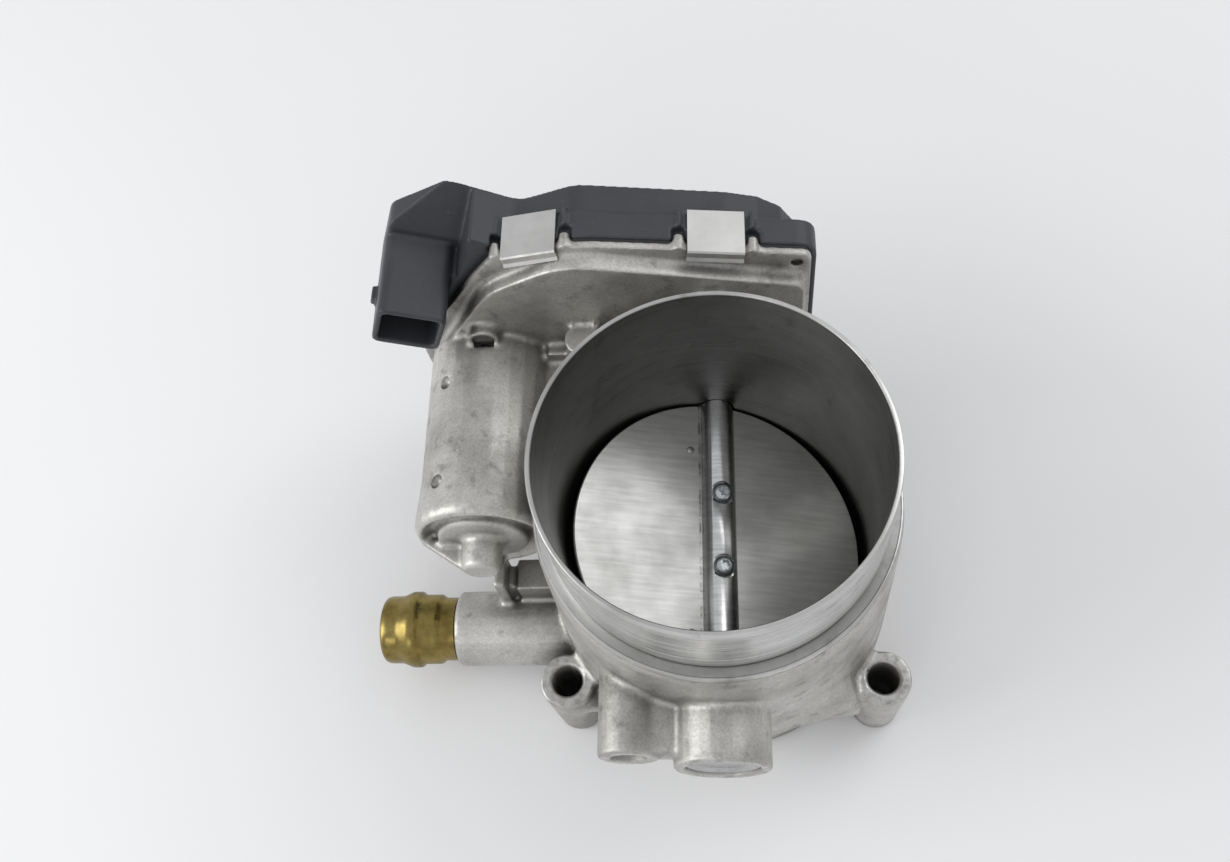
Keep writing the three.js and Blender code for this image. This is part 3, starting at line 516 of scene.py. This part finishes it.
def nipple_tunnel():
    seat_x = -80.6
    centre = in_bore(0, *NIPPLE_PLACE)
    return drilled([(0, seat_x), (9.3, seat_x), (9.3, -66.7), (7.4, -66.7), (7.4, -37),
        (0, -37)], "X", centre)


def bolt_tool(x, y):
    mouth = LUG_Z / MM
    profile = [
        (0, -1), (BOLT_HOLE_R, -1), (BOLT_HOLE_R, mouth - 0.7), (BOLT_MOUTH_R, mouth),
        (BOLT_MOUTH_R, mouth + 1), (0, mouth + 1),
    ]
    return drilled(profile, "Z", in_bore(x, y, 0), 48)


def dimple_tool(y):
    ball = [(0, -0.6), (1.1, -0.3), (2.1, 0.9), (2.1, 3), (0, 3)]
    tool = lathe("tool", [(r * MM, a * MM) for r, a in ball], 24)
    lean = Matrix.Rotation(math.radians(-35), 4, "Y")
    place = Matrix.Translation((MOTOR_AXIS.x, MOTOR_AXIS.y + y * MM, MOTOR_AXIS.z))
    tool.data.transform(place @ lean @ Matrix.Translation((0, 0, 17.4 * MM)))
    return tool


def boss_tools():
    front = [(0, -62.8), (10.2, -62.8), (10.2, -61.8), (9.6, -61.2), (9.6, -59.3), (7, -59.3),
        (7, -44.0), (0, -44.0)]
    port = [(0, -60), (5.1, -60), (5.1, -59), (4.6, -58.5), (4.6, -42.8), (0, -42)]
    return [
        drilled(front, "Y", in_bore(0, 0, SHAFT_HEIGHT)),
        drilled(port, "Y", in_bore(PORT_X, 0, SHAFT_HEIGHT)),
    ]


def casting_tools():
    bore = drilled([(0, -1), (41.9, -1), (41.9, 130), (0, 130)], "Z", in_bore(0, 0, 0), 160)
    top = drilled([(0, BARREL_TOP), (52, BARREL_TOP), (52, 130), (0, 130)], "Z", in_bore(0, 0, 0), 96)
    oval = drilled([(0, 51.2), (3.1, 51.2), (3.1, 53.1), (0, 53.1)], "Y", in_bore(-64.5, 0, 80.2), 32)
    corner_hole = drilled([(0, 59.7), (1.6, 59.7), (1.6, 62.2), (0, 62.2)], "Y", in_bore(23, 0, 100.4), 32)
    return [bore, top, shaft_tunnel(), nipple_tunnel(), oval, corner_hole, *boss_tools(),
            *[bolt_tool(x, y) for x in (-LUG_X, LUG_X) for y in (-LUG_Y, LUG_Y)],
            *[dimple_tool(y) for y in DIMPLE_YS]]


def face_machined(piece):
    """Gives the flat machined faces the second material."""
    piece.data.materials.append(BY_SLOT["cast_aluminium"])
    piece.data.materials.append(FACED)
    for polygon in piece.data.polygons:
        spot, normal = polygon.center, polygon.normal
        lug_top = normal.z > 0.97 and abs(spot.z - LUG_Z) < 0.25 * MM
        boss_end = normal.y < -0.97 and spot.y < BORE.y - 58.6 * MM
        if lug_top or boss_end:
            polygon.material_index = 1


def housing_casting():
    piece = copy_of_node("housing_casting", "throttle_body")
    piece.data.materials.clear()
    filleted(piece, CAST_VOXEL, FILLET, 2)
    cut_away(piece, casting_tools())
    face_machined(piece)
    smooth_by_angle(piece, 50)
    return finished(piece, "cast_aluminium", nodes=["throttle_body"])


def groove(z, depth=0.16, half=0.28):
    """A shallow turned groove on the outside of the collar."""
    floor_r = COLLAR_R - depth
    return [
        (COLLAR_R, z - half), (floor_r, z - half * 0.4), (floor_r, z + half * 0.4), (COLLAR_R, z + half),
    ]


def machined_bore():
    profile = [
        (42.0, 0.0), (42.0, BARREL_TOP), (46.7, BARREL_TOP), (46.6, 87.5), (46.4, 88.05), (46.1, 88.1),
        (45.9, 87.9),
        (42.75, 87.9), (42.75, 88.6), (43.4, 88.7), (43.4, 90.8), (43.6, 91.1),
        (COLLAR_R, 91.6), *[spot for z in COLLAR_GROOVES for spot in groove(z)],
        (COLLAR_R, 115.0), (43.75, 115.35),
        (43.4, 115.5), (42.8, 115.5), (42.6, 115.3), (41.0, 72.8), (41.0, 0.5), (41.4, 0.0),
    ]
    piece = drilled(profile, "Z", in_bore(0, 0, 0), 192)
    piece.name = "machined_bore"
    cut_away(piece, [shaft_tunnel(), nipple_tunnel()])
    piece.data.transform(Matrix.Translation(-BORE))
    piece.location = BORE
    smooth_by_angle(piece, 28)
    return finished(piece, "cast_aluminium", material=MACHINED)


# ---------- shaft, plate and screws ----------

FLAP = Matrix.Translation(THROTTLE_AXIS) @ Matrix.Rotation(REST_TILT, 4, "Y")
SCREW_YS = {"plate_screw_front": -9.0, "plate_screw_rear": 12.3}


def block(x, y, z):
    """Box tool between pairs of values in millimetres."""
    outline = [(x[0] * MM, y[0] * MM), (x[1] * MM, y[0] * MM), (x[1] * MM, y[1] * MM),
        (x[0] * MM, y[1] * MM)]
    return prism("tool", outline, z[0] * MM, z[1] * MM)


def cross_shaft():
    piece = drilled([(0, -57.5), (4.3, -57.5), (5, -56.8), (5, 74.3), (4.3, 75),
        (0, 75)], "Y", (0, 0, 0), 72)
    piece.name = "cross_shaft"
    tools = [block((-6, 6), (-41.25, 41.25), (-1.2, 1.2))]
    for y in SCREW_YS.values():
        seat = [(0, -6), (1.9, -6), (1.9, 4.1), (3.4, 4.1), (3.4, 6), (0, 6)]
        tools.append(drilled(seat, "Z", (0, y * MM, 0), 48))
    cut_away(piece, tools)
    bevelled(piece, 0.12 * MM, 2, 40)
    smooth_by_angle(piece, 35)
    piece.matrix_world = FLAP
    return finished(piece, "shaft_steel", "throttle", ["throttle_shaft"])


def plate_disc():
    rim = [(0, -0.9), (40.45, -0.9), (40.75, -0.6), (40.75, 0.6), (40.45, 0.9), (0, 0.9)]
    piece = drilled(rim, "Z", (0, 0, 0), 192)
    piece.name = "plate_disc"
    holes = [drilled([(0, -2), (1.9, -2), (1.9, 2),
        (0, 2)], "Z", (0, y * MM, 0), 32) for y in SCREW_YS.values()]
    cut_away(piece, holes)
    smooth_by_angle(piece, 30)
    piece.matrix_world = FLAP
    return finished(piece, "plate_aluminium", "throttle", ["throttle_plate"])


def stake_mark(index, x, y):
    """Small raised spot on the plate."""
    dome = [(0, 0.85), (1.15, 0.85), (1.05, 1.05), (0.75, 1.2), (0.35, 1.27), (0, 1.28)]
    piece = drilled(dome, "Z", (x * MM, y * MM, 0), 32)
    piece.name = f"stake_mark_{index}"
    smooth_by_angle(piece, 60)
    piece.matrix_world = FLAP
    return finished(piece, "plate_aluminium", "throttle", material=FACED)


def six_lobe(radius, low, high, y):
    """Tool for the driver recess of a six-lobe screw."""
    outline = []
    for i in range(72):
        angle = 2 * math.pi * i / 72
        reach = radius * (1 + 0.17 * math.cos(6 * angle))
        outline.append((reach * math.cos(angle) * MM, (y + reach * math.sin(angle)) * MM))
    return prism("tool", outline, low * MM, high * MM)


def button_screw(name, y):
    profile = [(0, -3.4), (1.3, -3.4), (1.55, -3.1), (1.55, 4.4), (2.8, 4.4), (2.95, 4.5),
        (2.93, 4.85), (2.72, 5.35),
               (2.3, 5.75), (1.7, 6.02), (0.9, 6.1), (0, 6.1)]
    piece = drilled(profile, "Z", (0, y * MM, 0), 64)
    piece.name = name + "_head"
    cut_away(piece, [six_lobe(1.35, 4.9, 7.0, y)])
    smooth_by_angle(piece, 35)
    piece.matrix_world = FLAP
    return finished(piece, "screw_steel", "throttle", [name])


# ---------- nipple, plug and clips ----------

def brass_nipple():
    profile = [
        (7.4, -67.0), (9.0, -67.0), (9.0, -79.9), (9.5, -80.0), (9.5, -83.8), (9.8, -84.6),
        (10.3, -85.2), (10.5, -85.9),
        (10.5, -90.3), (10.8, -91.0), (11.3, -91.4), (11.5, -91.9), (11.5, -93.7), (11.35, -94.4),
        (10.6, -96.2),
        (10.3, -97.0), (10.2, -98.0), (10.2, -100.3), (10.1, -101.3), (9.8, -102.1), (9.3, -102.5),
        (8.6, -102.6),
        (7.9, -102.5), (7.4, -102.0),
    ]
    piece = drilled(profile, "X", in_bore(0, *NIPPLE_PLACE), 128)
    piece.name = "brass_nipple"
    smooth_by_angle(piece, 40)
    return finished(piece, "nipple_brass", nodes=["hose_nipple"])


def end_plug():
    profile = [(0, -60.1), (6.0, -60.1), (8.0, -60.3), (8.7, -60.9), (9.3, -60.9), (9.3, -59.7), (0, -59.6)]
    piece = drilled(profile, "Y", in_bore(0, 0, SHAFT_HEIGHT), 96)
    piece.name = "end_plug"
    smooth_by_angle(piece, 35)
    return finished(piece, "bearing_steel", nodes=["bearing_end_plug"])


def spring_clip(node):
    piece = copy_of_node(node + "_strip", node)
    piece.data.materials.clear()
    modified(piece, "DECIMATE", decimate_type="DISSOLVE", angle_limit=math.radians(1.0))
    evaluated(piece)
    bevelled(piece, 0.22 * MM, 3, 20)
    smooth_by_angle(piece, 45)
    return finished(piece, "clip_steel", nodes=[node])


# ---------- cover ----------

def moulded_cover():
    piece = copy_of_node("moulded_cover", "gear_cover")
    piece.data.materials.clear()
    remeshed(piece, 0.5 * MM)
    softened(piece, 3)
    smooth_by_angle(piece, 60)
    return finished(piece, "cover_plastic", nodes=["gear_cover"])


# ---------- stage ----------

CAMERA_ELEVATION = math.radians(63.49)
CAMERA_AZIMUTH = math.radians(13.475)
CAMERA_ROLL = math.radians(-13.836)
CAMERA_DISTANCE = 329.167 * MM
CAMERA_ASIDE = (-28.485 * MM, 30.113 * MM)


def camera():
    a, e, r = CAMERA_AZIMUTH, CAMERA_ELEVATION, CAMERA_ROLL
    back = Vector((math.sin(a) * math.cos(e), -math.cos(a) * math.cos(e), math.sin(e)))
    level = Vector((math.cos(a), math.sin(a), 0))
    upright = back.cross(level)
    right = level * math.cos(r) + upright * math.sin(r)
    up = upright * math.cos(r) - level * math.sin(r)
    data = bpy.data.cameras.new("camera")
    data.lens = 35.0
    data.sensor_width = 36.0
    data.clip_start = 0.01
    eye = bpy.data.objects.new("camera", data)
    bpy.context.scene.collection.objects.link(eye)
    place = THROTTLE_AXIS + back * CAMERA_DISTANCE + right * CAMERA_ASIDE[0] + up * CAMERA_ASIDE[1]
    turn = Matrix((right, up, back)).transposed().to_4x4()
    eye.matrix_world = Matrix.Translation(place) @ turn
    bpy.context.scene.camera = eye


def floor():
    bm = bmesh.new()
    bmesh.ops.create_grid(bm, x_segments=8, y_segments=8, size=3.0)
    mesh = bpy.data.meshes.new("floor")
    bm.to_mesh(mesh)
    bm.free()
    piece = link("floor", mesh)
    mesh.materials.append(floor_white())


def softbox(name, place, size, power, target):
    data = bpy.data.lights.new(name, "AREA")
    data.shape = "RECTANGLE"
    data.size, data.size_y = size
    data.energy = power
    lamp = bpy.data.objects.new(name, data)
    bpy.context.scene.collection.objects.link(lamp)
    lamp.location = place
    lamp.rotation_mode = "QUATERNION"
    lamp.rotation_quaternion = (Vector(target) - Vector(place)).to_track_quat("-Z", "Y")


def lights():
    target = (0, 0, 0.05)
    softbox("left", (-1.0, -0.2, 0.6), (0.6, 0.9), 6.0, target)
    softbox("back_right", (0.75, 0.57, 1.0), (0.7, 0.7), 3.1, target)
    softbox("front_left", (-0.45, -1.0, 0.7), (0.4, 0.3), 0.9, target)
    world = bpy.data.worlds.new("studio")
    world.use_nodes = True
    backdrop = world.node_tree.nodes["Background"]
    backdrop.inputs["Color"].default_value = (0.97, 0.98, 1.0, 1)
    backdrop.inputs["Strength"].default_value = 0.68
    bpy.context.scene.world = world


# ---------- everything ----------

dress_nodes()
housing_casting()
machined_bore()
cross_shaft()
plate_disc()
for number, (x_mm, y_mm) in enumerate([(-8.0, 26.0), (-8.0, -27.0)], 1):
    stake_mark(number, x_mm, y_mm)
for screw, screw_y in SCREW_YS.items():
    button_screw(screw, screw_y)
brass_nipple()
end_plug()
for clip in ("clip_top_left", "clip_top_right", "clip_bottom_left", "clip_bottom_right"):
    spring_clip(clip)
moulded_cover()
camera()
floor()
lights()
bpy.context.scene.view_settings.view_transform = "Standard"
